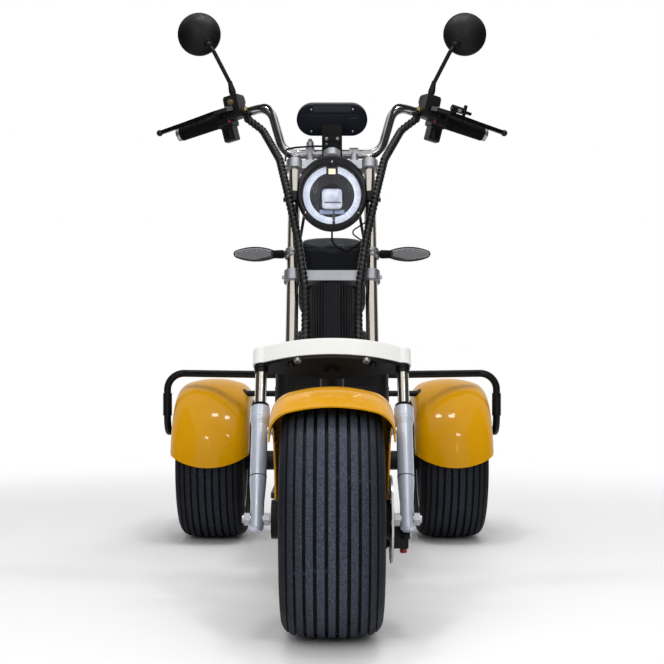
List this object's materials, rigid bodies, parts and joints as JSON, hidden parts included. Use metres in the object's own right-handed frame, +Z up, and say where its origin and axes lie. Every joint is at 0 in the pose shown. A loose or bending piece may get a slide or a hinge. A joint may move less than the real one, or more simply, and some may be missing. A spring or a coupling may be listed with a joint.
{
  "type": "three-wheeled electric scooter",
  "caption": "Stand-over electric scooter with a wide ribbed front tyre in a raked twin-tube fork, a low foot deck, a bench seat with backrest and fendered fat rear wheels.",
  "frame": {"origin": "floor level, midway along the length and on the plane of symmetry", "axes": "+Z up, -Y towards the front, +X towards the scooter's own left side"},
  "size_m": [1.032, 1.8779, 1.4018],
  "materials": {
    "tyre": "ribbed matt rubber",
    "rim": "dark painted alloy",
    "steel": "bright zinc",
    "silver_paint": "silver paint",
    "chrome": "polished",
    "white_paint": "satin off-white",
    "black_metal": "black paint",
    "aluminium": "satin cast",
    "rubber": "matt",
    "black_plastic": "moulded",
    "black_gloss": "gloss",
    "lamp_white": "frosted",
    "clear_cover": "clear",
    "grey_lens": "smoked",
    "mirror": "silvered",
    "yellow": "gloss amber yellow",
    "seat_cover": "black seat cover",
    "red_lens": "red"
  },
  "bodies": {
    "chassis": {"frame_neck": "black_metal", "neck_cover": "black_gloss", "frame_rails": "black_metal", "battery_box": "black_metal", "deck": "black_plastic", "seat_box": "black_gloss", "subframe": "black_metal", "guard_hoops": "black_metal", "rear_bumper": "black_metal", "rear_axle": "black_metal", "drive_unit": "aluminium", "spring_struts": "black_metal", "rear_fender_left": "yellow", "rear_fender_right": "yellow", "seat": "seat_cover", "backrest": "seat_cover", "backrest_posts": "black_metal", "tail_light": "red_lens"},
    "steering": {"front_axle": "steel", "fork_legs": "silver_paint", "fork_tubes": "chrome", "fork_plate": "white_paint", "fork_plate_base": "black_metal", "lower_clamp": "aluminium", "upper_clamp": "aluminium", "steering_stem": "steel", "handlebar": "chrome", "grips": "rubber", "bar_risers": "aluminium", "key_switch": "aluminium", "headlight_bucket": "black_plastic", "headlight_ring": "lamp_white", "headlight_projector": "lamp_white", "headlight_lens": "clear_cover", "headlight_straps": "black_metal", "signal_clamps": "chrome", "signal_bodies": "black_plastic", "signal_lenses": "grey_lens", "control_pods": "black_plastic", "brake_levers": "black_metal", "mirrors": "black_plastic", "mirror_glasses": "mirror", "display": "black_plastic", "display_bracket": "black_metal", "cable_looms": "rubber", "control_lines": "rubber", "front_fender": "yellow", "brake_caliper": "black_metal"},
    "front_wheel": {"front_tyre": "tyre", "front_rim": "rim", "front_disc": "steel"},
    "rear_wheel_left": {"rear_tyre_left": "tyre", "rear_rim_left": "rim"},
    "rear_wheel_right": {"rear_tyre_right": "tyre", "rear_rim_right": "rim"}
  },
  "joints": [
    {"name": "steer", "type": "hinge", "parent": "chassis", "child": "steering", "pos_m": [0, -0.48504, 0.64423], "axis": [0, 0.454, 0.891], "range_deg": [-40, 40]},
    {"name": "front_wheel_spin", "type": "hinge", "parent": "steering", "child": "front_wheel", "pos_m": [0, -0.701, 0.238], "axis": [1, 0, 0], "continuous": true},
    {"name": "rear_left_spin", "type": "hinge", "parent": "chassis", "child": "rear_wheel_left", "pos_m": [0.364, 0.619, 0.238], "axis": [1, 0, 0], "continuous": true},
    {"name": "rear_right_spin", "type": "hinge", "parent": "chassis", "child": "rear_wheel_right", "pos_m": [-0.364, 0.619, 0.238], "axis": [1, 0, 0], "continuous": true}
  ]
}
